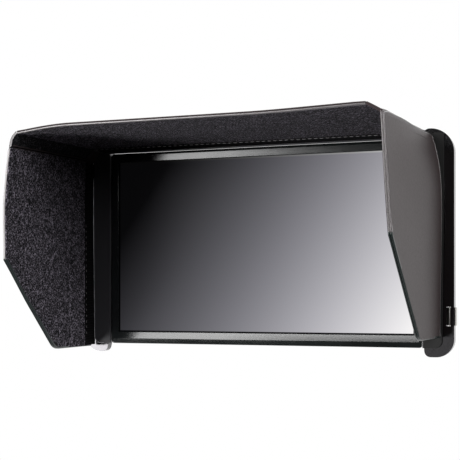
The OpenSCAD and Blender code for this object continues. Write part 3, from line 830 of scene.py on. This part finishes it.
# How each wing is cut and how its cloth hangs, in mm: its top edge falls towards the front,
# its top leans in over its knee, and its lower front corner curls
DRAPE = {
    "left": {"fall": 3.9, "peak": 0.0, "bend_drop": 1.6, "tip_radius": 9.5, "bend_radius": 0.9,
             "knee": 44, "front_lean": 3.5, "rear_lean": 0.9, "flare": 0.4, "turn_out": 1.3,
             "curl": 0.8, "tape_lap": 0.25, "lip_over": 0.45, "lip_in": 0.0},
    "right": {"fall": 3, "peak": 0.9, "bend_drop": 0.0, "tip_radius": 8, "bend_radius": 2,
              "knee": 49, "front_lean": 2.9, "rear_lean": 4.4, "flare": -0.55, "turn_out": 0.8,
              "curl": 0.0, "tape_lap": 1.1, "lip_over": 0.45, "lip_in": 1.1}}
LEAN_POWER = {"left": 1.7, "right": 0.9}


class Wing:
    """Place and outline of one wing, from its joint and its CAD board."""

    def __init__(self, side):
        self.name = "right" if side > 0 else "left"
        self.body = self.name + "_wing"
        self.side = side
        self.trims = []
        for key, size in DRAPE[self.name].items():
            setattr(self, key, size * MM)
        self.lean_power = LEAN_POWER[self.name]
        self.hinge = joint_place(self.body + "_fold")
        low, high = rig.box(self.body + "_board")
        self.low = low.z
        self.high = high.z
        self.along = Vector((-side * math.sin(TOE_IN), -math.cos(TOE_IN), 0))
        self.out = Vector((side * math.cos(TOE_IN), -math.sin(TOE_IN), 0))
        self.bend = self.low + BEND_OVER_LOW - self.bend_drop
        self.tip = WING_REACH - BEND_OVER_LOW / math.tan(WING_SLOPE)
        self.top_front = self.high - (self.fall - FALL_REAR)

    def top_edge(self, share):
        """Height of the top edge at a share of the way to the front."""
        return self.high + (self.top_front - self.high) * share

    def outline(self, inset):
        """Outline from the lower rear corner, towards the viewer and up."""
        front = WING_REACH - inset
        corners = [(WING_START, self.low + inset), (self.tip - inset * 0.3, self.low + inset),
                   (front, self.bend + inset * 0.4), (front, self.top_front - inset),
                   (WING_START, self.high + self.peak - inset)]
        return rounded_outline(corners, (1 * MM, self.tip_radius, self.bend_radius, 1.2 * MM, 0.6 * MM))

    def place(self, along, height, outwards):
        """A point of the wing. Its top leans in, evenly at the front and more suddenly
        towards the frame, where its rear edge turns out a little."""
        share = smooth_step(along / WING_REACH)
        over_knee = max(0.0, (height - (self.high - self.knee)) / LEAN_HEIGHT)
        over_rear = max(0.0, (height - (self.high - REAR_LEAN_HEIGHT)) / REAR_LEAN_HEIGHT)
        lean = self.front_lean * over_knee ** self.lean_power * share
        lean += self.rear_lean * over_rear ** 2.2 * (1 - share)
        turned = self.turn_out * max(0.0, 1 - along / REAR_TURN) ** 2 * smooth_step(height / TURN_HEIGHT)
        below = min(1.0, max(0.0, (CURL_TOP - height) / CURL_HEIGHT))
        curl = self.curl * math.sin(math.pi * below) * share
        bow = self.flare * share - lean + turned - curl
        return (self.hinge + self.along * along + self.out * (outwards + bow)
                + Vector((0, 0, height - self.hinge.z)))


def wing_edges(wing):
    """Turned edges: darker along the bottom as painted shade, covered at the top, and on the left wing lighter at the
    front as painted highlight.
    """
    outline = wing.outline(0.35 * MM)
    front = outline[17:24]
    edges = [("lower", outline[3:18], "edge_paint", BOTH_BEADS),
             ("upper", outline[23:] + outline[:4], "hood_leather", BOTH_BEADS)]
    if wing.side > 0:
        top = Vector((front[1].x, wing.top_front + 1.2 * MM))
        edges += [("front", front[:2] + [top], "hood_edge", BOTH_BEADS)]
    else:
        # The left front edge is pale as a painted highlight
        edges += [("front", front, "pale_edge", OUTER_BEAD),
                  ("front_lining", front, "hood_lining", INNER_BEAD)]
    for part, path, finish, beads in edges:
        edge = turned_edge(f"{wing.body}_{part}_edge", dense(path, 4 * MM), wing.place, PANEL,
                           finish, beads)
        wing.trims.append(fit(edge, wing.body, "hood_leather"))


WELT_RADIUS = 0.22 * MM


def wing_welt(wing):
    """Fine welt round the outside of the top and rear, which follows the gusset."""
    outline = wing.outline(0.35 * MM)
    path = []
    for a, b in dense(outline[23:] + outline[:6], 3 * MM):
        over = smooth_step((b - (wing.top_front - 1 * MM)) / (1 * MM)) * gusset_share(wing, a)
        path.append(wing.place(a, b + 1.3 * MM * over, PANEL / 2 - (0.05 + 0.35 * over) * MM))
    welt = round_cord(wing.name + "_welt", path, WELT_RADIUS, wing.out, "hood_edge")
    wing.trims.append(fit(welt, wing.body, "hood_leather"))


GUSSET = 0.4 * MM
GUSSET_START = WING_START + 8.5 * MM
GUSSET_LENGTH = WING_REACH - WING_START - 9.2 * MM
# Points across the gusset, in mm: height over the wing's top edge, more where it stands up,
# and the way inwards
GUSSET_SECTION = ((-2.2, 0.0, 0.0), (-1.0, 0.0, 0.0), (0.0, 0.3, 0.05), (0.45, 0.75, 0.45),
                  (0.75, 1.05, 1.2), (0.9, 1.2, 2.2))


def gusset_share(wing, along):
    """How far the strip on the right wing stands up over its top edge, more to the front."""
    if wing.side < 0:
        return 0.0
    share = smooth_step((along - 14 * MM) / (44 * MM))
    return share * (1.45 - 0.45 * smooth_step((along - 80 * MM) / (8 * MM)))


def wing_gusset(wing):
    """Soft strip on the top edge of a wing that closes the gap outside the corner flap."""
    outer = PANEL / 2 - GUSSET / 2 + 0.05 * MM
    rows = []
    for r in range(25):
        along = GUSSET_START + GUSSET_LENGTH * r / 24
        top = wing.top_edge(along / WING_REACH)
        share = gusset_share(wing, along)
        rows.append([wing.place(along, top + (rise + more * share) * MM, outer - inwards * MM)
                     for rise, more, inwards in GUSSET_SECTION])
    piece = grid_piece(wing.name + "_gusset", rows, "hood_leather", GUSSET)
    wing.trims.append(fit(piece, wing.body, "hood_leather"))


def flatten_when_folded(wing, pieces):
    """The soft wing lies flat against the screen when it is folded, so its lean and bow go."""
    for piece in pieces:
        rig.squash(piece, wing.body + "_fold", wing.out, wing.hinge, 0.4)


def fold_wing_cloth(wing, skins, board):
    """The soft wing lies flat against the screen when it is folded."""
    flatten_when_folded(wing, [*skins, board, *wing.trims])
    outline = wing.outline(WING_INSET)
    flat = [max(point[axis] for point in outline) - min(point[axis] for point in outline) for axis in (0, 1)]
    declare_cloth(skins, wing.trims, flat, outline, wing.body + "_board")


# Top panel

TOP_INSET = 0.2 * MM
DROOP = 2.2 * MM
DROOP_START = -58 * MM
DROOP_LENGTH = 24 * MM
RISE = 1.2 * MM
RISE_START = 28 * MM
RISE_LENGTH = 44 * MM
SAG = 0.3 * MM
TOP_HALF_FRONT = {-1: 82.2 * MM, 1: 78.3 * MM}
TOP_HALF_REAR = 84.6 * MM


def top_point(x, y, above):
    """A point of the top. Its left front corner hangs a little and its right one rises."""
    share = (TOP_REAR - y) / (TOP_REAR - HOOD_FRONT)
    hanging = min(1.0, max(0.0, DROOP_START - x) / DROOP_LENGTH) ** 1.6
    rising = min(1.0, max(0.0, x - RISE_START) / RISE_LENGTH) ** 1.5
    middle = (TOP_LOW + TOP_HIGH) / 2
    return Vector((x, y, middle + above + share * (RISE * rising - DROOP * hanging - SAG)))


def top_outline(inset):
    front = HOOD_FRONT + inset
    return [Vector((HOOD_X - TOP_HALF_FRONT[-1] + inset, front)),
            Vector((HOOD_X + TOP_HALF_FRONT[1] - inset, front)),
            Vector((HOOD_X + TOP_HALF_REAR - inset, TOP_REAR)),
            Vector((HOOD_X - TOP_HALF_REAR + inset, TOP_REAR))]


def hood_top():
    """The covered top and the two beads of its front edge."""
    skins, _ = covered_panel("hood_top", "top_panel", "top", top_outline, top_point, TOP_PANEL,
                             TOP_INSET, (5 * MM, 8 * MM), 40 * MM, (9.0, 13.0))
    front = dense(top_outline(0.3 * MM)[:2], 5 * MM)
    edges = []
    # The board's bead takes a lighter finish as painted highlight
    for part, beads, finish in (("cover", UPPER_BEAD, "hood_leather"), ("board", LOWER_BEAD, "top_rim")):
        edge = turned_edge(f"hood_top_{part}_edge", front, top_point, TOP_PANEL, finish, beads)
        edges.append(fit(edge, "top_panel", "hood_leather"))
    flat = (2 * TOP_HALF_REAR, TOP_REAR - HOOD_FRONT)
    declare_cloth(skins, edges, flat, top_outline(TOP_INSET), "top_board")


# Corners between the top and the wings

FLAP_ROWS = 20


class Corner:
    """Place of the strip that closes the corner between the top and a wing."""

    def __init__(self, wing):
        self.wing = wing

    def ends(self, share):
        """Upper and lower end of the strip at a share of the way to the front."""
        wing = self.wing
        y = TOP_REAR + (HOOD_FRONT + 0.1 * MM - TOP_REAR) * share
        edge = HOOD_X + wing.side * (TOP_HALF_REAR + (TOP_HALF_FRONT[wing.side] - TOP_HALF_REAR) * share)
        height = wing.top_edge(share)
        low = wing.place((wing.hinge.y - y) / math.cos(TOE_IN), height, -0.3 * MM)
        return top_point(edge, y, 0), Vector((low.x, y, height + TOP_PANEL / 2 + LIFT))

    def point(self, share, t, through):
        upper, lower = self.ends(share)
        slope = (lower - upper).normalized()
        across = Vector((-slope.z, 0, slope.x))
        if across.z < 0:
            across.negate()
        bulge = (0.15 if self.wing.side > 0 else 0.75 * share) * MM
        soft = math.sin(math.pi * min(1, max(0, t))) * bulge
        return upper.lerp(lower, t) + across * (soft + through)

    def lip_point(self, share, t, through):
        """From the lower end of the strip out over the top edge of the wing."""
        wing = self.wing
        start = self.point(share, 1, through)
        end = wing.place((wing.hinge.y - start.y) / math.cos(TOE_IN),
                         wing.top_edge(share) + 0.3 * MM + through * 0.6, wing.lip_over - wing.lip_in * share)
        return start.lerp(Vector((end.x, start.y, end.z)), t)


def flap_rows(place, through, steps):
    return [[place(r / FLAP_ROWS, t / steps, through) for t in range(steps + 1)]
            for r in range(FLAP_ROWS + 1)]


def corner_flap(wing):
    """Soft strip on the edge of the top, and the lip that bridges from it to the wing. The
    lip draws in as the top folds."""
    corner = Corner(wing)
    joined = corner.point(0.5, 1, 0)
    # On the left, the lining is a darker copy as painted shade and the rim a lighter copy as painted highlight
    lining, rim, rim_share = (("hood_lining", "hood_leather", 1) if wing.side > 0
                              else ("corner_lining", "pale_edge", 0.72))
    strips, edges = [], []
    for part, side, finish, slot, node in (
            ("cover", 1, "hood_leather", "hood_leather", wing.name + "_corner_flap"),
            ("lining", -1, lining, "hood_lining", None)):
        middle = side * (TOP_PANEL - SKIN) / 2
        flap = grid_piece(f"{wing.name}_corner_{part}", flap_rows(corner.point, middle, 8),
                          finish, SKIN)
        fit(flap, "top_panel", slot, node)
        lip = grid_piece(f"{wing.name}_corner_lip_{part}", flap_rows(corner.lip_point, middle, 3),
                         finish, SKIN)
        fit(lip, "top_panel", slot)
        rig.squash(lip, "top_fold", (1, 0, 0), joined, 0.15)
        strips.append((flap, lip))
    profile = edge_profile(TOP_PANEL * rim_share)
    for part, steps, place in (("edge", 12, corner.point), ("lip_edge", 4, corner.lip_point)):
        path, frames = [], []
        for k in range(steps + 1):
            inner, outer = (place(1, k / steps, side * TOP_PANEL / 2) for side in (-1, 1))
            path.append((inner + outer) / 2 + Vector((0, 0.4 * MM, 0)))
            frames.append((Vector((0, -1, 0)), (outer - inner).normalized()))
        edge = swept(f"{wing.name}_corner_{part}", path, frames, profile, rim)
        edges.append(fit(edge, "top_panel", "hood_leather"))
    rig.squash(edges[-1], "top_fold", (1, 0, 0), joined, 0.15)
    rows = flap_rows(corner.point, 0, 8)
    width = max((row[0] - row[-1]).length for row in rows)
    length = (corner.point(0, 0.5, 0) - corner.point(1, 0.5, 0)).length
    for (flap, lip), trims, under in zip(strips, (edges, []), ("cover", "lining")):
        declare_strip(flap, width, length, surface_area(rows), "hood_top_" + under, [lip, *trims])


def declare_strip(piece, width, length, area, rests_on, with_pieces):
    """A narrow strip of cloth with the size that it is cut to."""
    width = max(width, 10 * MM)
    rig.sheet(piece, flat=(width, length), area=min(area, width * length), held="stretched",
             rests_on=rests_on, with_pieces=with_pieces)


WEB_LEDGE = 87.3 * MM
WEB_REACH = 9.6 * MM


def corner_web(wing):
    """Soft web between the ledge of the frame and the top edge of a wing near its hinge."""
    rows = []
    for r in range(-1, 9):
        share = max(r, 0) / 8
        along = WING_START + 0.2 * MM + WEB_REACH * share
        top = wing.top_edge(along / WING_REACH)
        start = wing.place(along, top - (1.5 if r > 0 else 4.5) * MM, PANEL / 2 - SKIN)
        if r < 0:
            start.y = FRONT_Y - 1.1 * MM
        end = Vector((HOOD_X + wing.side * (WEB_LEDGE - 1.1 * MM * share), start.y, TOP_LOW + 0.6 * MM))
        row = []
        for t in (0, 0.2, 0.4, 0.6, 0.8, 1):
            bulge = math.sin(math.pi * t) * 0.5 * MM
            row.append(start.lerp(end, t) + Vector((wing.side * bulge, 0, bulge * 0.5)))
        rows.append(row)
    wing.web = grid_piece(wing.name + "_corner_web", rows, "hood_leather", SKIN)
    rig.slot(wing.web, "hood_leather")
    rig.blend(wing.web, "monitor", wing.body, rows[5][-1], rows[5][0])


# Hinge tapes

TAPE = 0.28 * MM
TAPE_REACH = (8.5, 7.2, 6, 4.8, 3.6, 2.4)


def top_tape():
    """Ribbed tape under the hinge of the top."""
    low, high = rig.box("top_hinge_tape")
    rows = []
    for i in range(41):
        y = low.y + (high.y - low.y) * i / 40
        rows.append([Vector((low.x + (high.x - low.x) * k / 60, y, (low.z + high.z) / 2)) for k in range(61)])
    piece = grid_piece("top_tape", rows, "hinge_ribbon", high.z - low.z)
    axis, reach = joint_place("top_fold"), Vector((0, 0.9 * MM, 0))
    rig.replaces(piece, "top_hinge_tape")
    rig.slot(piece, "hinge_fabric")
    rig.sheet(piece, flat=(high.x - low.x, high.y - low.y), held="stretched",
             rests_on=["hood_frame", "hood_top_lining"])
    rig.blend(piece, "monitor", "top_panel", axis + reach, axis - reach)


def wing_tape(wing):
    """Ribbed tape from the lining of a wing round to the frame."""
    side = wing.side
    low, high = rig.box(wing.name + "_hinge_tape")
    inner = -PANEL / 2 - 0.16 * MM
    strip = FRONT_Y - 1 * MM
    rows = []
    for i in range(33):
        z = low.z + (high.z - low.z) * i / 32
        row = [wing.place(along * MM, z, inner) for along in TAPE_REACH]
        x = row[-1].x
        turn = x - side * wing.tape_lap
        end = low.x if side > 0 else turn + 0.1 * MM
        row += [Vector((x - side * share * wing.tape_lap, strip - rise * MM, z))
                for share, rise in ((0.13, 0.9), (0.45, 0.4))]
        row += [Vector((turn + (end - turn) * t, strip - 0.16 * MM, z)) for t in (0.0, 0.5, 1.0)]
        rows.append(row)
    piece = grid_piece(wing.name + "_tape", rows, "hinge_ribbon", TAPE)
    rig.replaces(piece, wing.name + "_hinge_tape")
    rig.slot(piece, "hinge_fabric")
    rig.blend(piece, "monitor", wing.body, wing.hinge + Vector((0, 1.2 * MM, 0)),
             wing.hinge - Vector((0, 3 * MM, 0)))
    width = max(sum((b - a).length for a, b in zip(row, row[1:])) for row in rows)
    declare_strip(piece, width, high.z - low.z, surface_area(rows), [wing.name + "_lining", "hood_frame"],
                  [wing.web])


# ---- Frame cord and clip rims ----------------------------------------------------

CORD_X = -91.1 * MM
CORD_RADIUS = 0.17 * MM
CORD_TOP = BLOCK_TOP - 1.5 * MM
CORD_TURN = 3.5 * MM
CORD_FOOT = 0.15 * MM
CORD_LEAN = 0.7 * MM
CLIP_X = 96 * MM
CLIP_Z = (10.5 * MM, 19.5 * MM)
RIM_RADIUS = 0.15 * MM


def frame_highlight_cord():
    """Fine pale cord along the outer edge and lower corner of the frame, where the left wing's tape ends. Its pale
    colour is a painted highlight of the frame's edge."""
    y = FRONT_Y - 1.42 * MM
    path = []
    for k in range(25):
        z = CORD_TOP + (CORD_TURN - CORD_TOP) * k / 24
        path.append(Vector((CORD_X - CORD_LEAN * smooth_step(z / TURN_HEIGHT), y, z)))
    for k in range(1, 7):
        angle = math.pi / 2 * k / 6
        path.append(Vector((CORD_X + CORD_TURN * (1 - math.cos(angle)), y,
                            CORD_TURN * (1 - math.sin(angle)) + CORD_FOOT)))
    path.append(Vector((CORD_X + CORD_TURN + 2 * MM, y, CORD_FOOT)))
    cord = round_cord("left_frame_trim", path, CORD_RADIUS, Vector((0, 1, 0)), "frame_edge")
    fit(cord, "monitor", "frame_plastic")


def clip_rim(side):
    """Rolled rim of a strap clip, which stands along the slot of its plate. Its paint is lighter than the clip's as a
    painted highlight.
    """
    low, high = CLIP_Z
    # Each point of the rim: back from its face and height
    bends = [(0.7, low - 0.1 * MM), (0.15, low), (0, low + 0.2 * MM),
             (0, high - 0.2 * MM), (0.15, high), (0.7, high + 0.1 * MM)]
    path = [Vector((HOOD_X + side * (CLIP_X - back * MM), FRONT_Y + 0.5 * MM, z)) for back, z in bends]
    name = ("right" if side > 0 else "left") + "_clip_rim"
    rim = round_cord(name, path, RIM_RADIUS, Vector((0, 1, 0)), "clip_rim", sides=10)
    fit(rim, "monitor", "clip_paint")


# ---- Stitches --------------------------------------------------------------------

STITCH_PITCH = 2.9 * MM
STITCH_LENGTH = 1.9 * MM


def stitch_nodes():
    """Geometry nodes that lay one stitch after another along a straight row."""
    group = bpy.data.node_groups.new("stitch_row", "GeometryNodeTree")
    face = group.interface
    for name, kind, value in (("Start", "Vector", (0, 0, 0)), ("End", "Vector", (0.1, 0, 0)),
                              ("Pitch", "Float", STITCH_PITCH), ("Length", "Float", STITCH_LENGTH),
                              ("Thickness", "Float", 0.35 * MM), ("Seed", "Int", 3)):
        face.new_socket(name, in_out="INPUT", socket_type="NodeSocket" + kind).default_value = value
    face.new_socket("Material", in_out="INPUT", socket_type="NodeSocketMaterial")
    face.new_socket("Geometry", in_out="OUTPUT", socket_type="NodeSocketGeometry")

    def add(kind, inputs, **settings):
        """Adds a node. An input is a value, or a node and its output."""
        node = group.nodes.new(kind)
        for key, value in settings.items():
            setattr(node, key, value)
        for key, value in inputs.items():
            if isinstance(value, tuple) and isinstance(value[0], bpy.types.Node):
                group.links.new(value[0].outputs[value[1]], node.inputs[key])
            else:
                node.inputs[key].default_value = value
        return node

    given = add("NodeGroupInput", {})
    line = add("GeometryNodeCurvePrimitiveLine", {"Start": (given, "Start"), "End": (given, "End")})
    spaced = add("GeometryNodeCurveToPoints", {"Curve": (line, 0), "Length": (given, "Pitch")}, mode="LENGTH")
    bead = add("GeometryNodeMeshUVSphere", {"Segments": 8, "Rings": 6, "Radius": 0.5})
    size = add("ShaderNodeCombineXYZ", {"X": (given, "Thickness"), "Y": (given, "Thickness"),
                                        "Z": (given, "Length")})
    jitter = add("FunctionNodeRandomValue", {0: (-0.06, -0.06, -0.3), 1: (0.06, 0.06, 0.3),
                                             "Seed": (given, "Seed")}, data_type="FLOAT_VECTOR")
    laid = add("GeometryNodeInstanceOnPoints", {"Points": (spaced, "Points"), "Instance": (bead, "Mesh"),
                                                "Rotation": (spaced, "Rotation"), "Scale": (size, 0)})
    tilt = add("GeometryNodeRotateInstances", {"Instances": (laid, 0), "Rotation": (jitter, 0)})
    solid = add("GeometryNodeRealizeInstances", {0: (tilt, 0)})
    finish = add("GeometryNodeSetMaterial", {"Geometry": (solid, 0), "Material": (given, "Material")})
    add("NodeGroupOutput", {0: (finish, 0)})
    return group


def stitch_row(group, name, start, end, body, seed):
    """One row of stitches as a plain mesh on a body."""
    piece = new_piece(name, bpy.data.meshes.new(name), "thread")
    nodes = piece.modifiers.new("stitches", "NODES")
    nodes.node_group = group
    values = {"Start": tuple(start), "End": tuple(end), "Pitch": STITCH_PITCH, "Length": STITCH_LENGTH,
              "Seed": seed, "Material": FINISHES["thread"]}
    for item in group.interface.items_tree:
        if item.in_out == "INPUT" and item.name in values:
            nodes[item.identifier] = values[item.name]
    apply_modifiers(piece)
    coat(piece.data, "thread")
    shade_by_angle(piece.data, 180)
    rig.ride(piece, body)
    return piece


def all_stitches(wings):
    """A row under the front of the top and one down the inside of each wing."""
    group = stitch_nodes()
    low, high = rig.box("top_hinge_tape")
    y = joint_place("top_fold").y - 1.6 * MM
    z = low.z - 0.05 * MM
    stitch_row(group, "top_stitches", Vector((low.x + 2 * MM, y, z)), Vector((high.x - 2 * MM, y, z)),
               "top_panel", 3)
    for wing in wings:
        start, end = (wing.place(7.4 * MM, height, -PANEL / 2 - 0.2 * MM)
                      for height in (wing.low + 7 * MM, wing.high - 34 * MM))
        row = stitch_row(group, wing.name + "_inner_stitches", start, end, wing.body, 5)
        flatten_when_folded(wing, [row])


# ---- Camera and light ------------------------------------------------------------

# Fitted to the straight edges of bezel and screen
FRAME_PIXELS = 460
SENSOR = 36
FOCAL_PIXELS = 1111.5
HORIZON_ROW = 296.1
CAMERA_PLACE = (0.18355, -0.53926, 0.02461)
CAMERA_TURN = math.radians(20.773)


def make_camera():
    data = bpy.data.cameras.new("view")
    data.sensor_width = SENSOR
    data.lens = FOCAL_PIXELS * SENSOR / FRAME_PIXELS
    data.shift_y = HORIZON_ROW / FRAME_PIXELS - 0.5
    data.clip_start = 0.01
    camera = bpy.data.objects.new("view", data)
    camera.location = CAMERA_PLACE
    camera.rotation_euler = (math.pi / 2, 0, CAMERA_TURN)
    bpy.context.scene.collection.objects.link(camera)
    bpy.context.scene.camera = camera


# The room's light to all but the camera, in front of the monitor and behind it
ROOM_FRONT = 0.03
ROOM_BACK = 1.1
LIT_POINT = Vector((0, -0.03, 0.05))
FLOOR_HALF = 0.7
FLOOR_HEIGHT = -2.6


def light_world():
    """White to the camera. To everything else it is dim in front and white behind."""
    world = bpy.data.worlds.new("studio")
    bpy.context.scene.world = world
    world.use_nodes = True
    tree = world.node_tree
    paper = tree.nodes["Background"]
    room, direction, split, fade, rays, mix = (tree.nodes.new("ShaderNode" + kind) for kind in (
        "Background", "TexCoord", "SeparateXYZ", "MapRange", "LightPath", "MixShader"))
    for background in (paper, room):
        background.inputs["Color"].default_value = (1, 1, 1, 1)
    fade.interpolation_type = "SMOOTHSTEP"
    for key, value in {"From Min": 0.08, "From Max": 0.6, "To Min": ROOM_FRONT, "To Max": ROOM_BACK}.items():
        fade.inputs[key].default_value = value
    for source, target in ((direction.outputs["Generated"], split.inputs[0]),
                           (split.outputs["Y"], fade.inputs["Value"]),
                           (fade.outputs[0], room.inputs["Strength"]),
                           (rays.outputs["Is Camera Ray"], mix.inputs[0]),
                           (room.outputs[0], mix.inputs[1]), (paper.outputs[0], mix.inputs[2]),
                           (mix.outputs[0], tree.nodes["World Output"].inputs["Surface"])):
        tree.links.new(source, target)
    bpy.context.scene.view_settings.view_transform = "Standard"


def softbox(name, azimuth, distance, height, size, radiance):
    """A lit panel turned to the monitor, at an azimuth from its front, positive to the
    viewer's right."""
    data = bpy.data.lights.new(name, "AREA")
    data.shape = "RECTANGLE"
    data.size, data.size_y = size
    data.energy = radiance * math.pi * size[0] * size[1]
    light = bpy.data.objects.new(name, data)
    angle = math.radians(azimuth)
    light.location = (math.sin(angle) * distance, -math.cos(angle) * distance, height)
    light.rotation_euler = (LIT_POINT - light.location).to_track_quat("-Z", "Y").to_euler()
    bpy.context.scene.collection.objects.link(light)


def light_studio():
    light_world()
    softbox("left_softbox", -28.5, 1.2, 0.3, (0.42, 0.95), 8.0)
    softbox("low_softbox", -16.1, 1.5, 0.33, (0.19, 0.24), 9.4)
    softbox("low_card", -9, 1.5, -0.05, (0.3, 0.14), 0.5)
    softbox("top_softbox", 0, 0.9, 1.2, (0.9, 0.5), 2.6)
    softbox("right_softbox", 54, 1.3, 0.56, (0.45, 0.8), 10.3)
    softbox("under_softbox", -44, 1.2, -0.5, (0.4, 0.3), 26.0)
    work = bmesh.new()
    bmesh.ops.create_grid(work, x_segments=1, y_segments=1, size=FLOOR_HALF)
    floor = piece_from("floor", work, "floor_paint")
    floor.location.z = FLOOR_HEIGHT
    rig.stage(floor)


# ---- Build -----------------------------------------------------------------------

# Rounding of sharp edges, as (width in mm, segments)
EASED = {"front_bezel": (0.3, 3), "left_side_plate": (1.0, 4), "right_side_plate": (1.0, 4),
         "rear_housing": (0.35, 2), "battery_plate": (0.4, 2), "battery_latch": (0.3, 2),
         "key_surround": (0.2, 2), "power_key": (0.4, 3), "input_key": (0.4, 3), "menu_key": (0.4, 3),
         "down_key": (0.4, 3), "up_key": (0.4, 3), "left_strap_clip": (0.25, 3),
         "right_strap_clip": (0.25, 3), "elastic_strap": (0.25, 2), "hood_frame": (0.3, 3),
         "hdmi_input": (0.12, 2), "hdmi_output": (0.12, 2), "cover_glass": (0.1, 1)}


def main():
    make_camera()
    light_studio()
    slots = finish_nodes()
    for node, (width, segments) in EASED.items():
        piece = eased_copy(node, width * MM, segments, slots[node])
        if node == "cover_glass":
            piece.visible_diffuse = False
    hood_top()
    wings = [Wing(-1), Wing(1)]
    for wing in wings:
        seeds = (1.0 + wing.side, 5.0 + wing.side)
        skins, board = covered_panel(wing.name, wing.body, wing.body, wing.outline, wing.place, PANEL,
                                     WING_INSET, (4 * MM, 6 * MM), 26 * MM, seeds)
        wing_edges(wing)
        wing_welt(wing)
        corner_flap(wing)
        wing_gusset(wing)
        corner_web(wing)
        wing_tape(wing)
        fold_wing_cloth(wing, skins, board)
    frame_highlight_cord()
    for side in (-1, 1):
        clip_rim(side)
    top_tape()
    all_stitches(wings)


main()

json.dump({"cad": cad_box, "visual": [list(corner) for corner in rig.bounds()]},
          open("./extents.json", "w"))
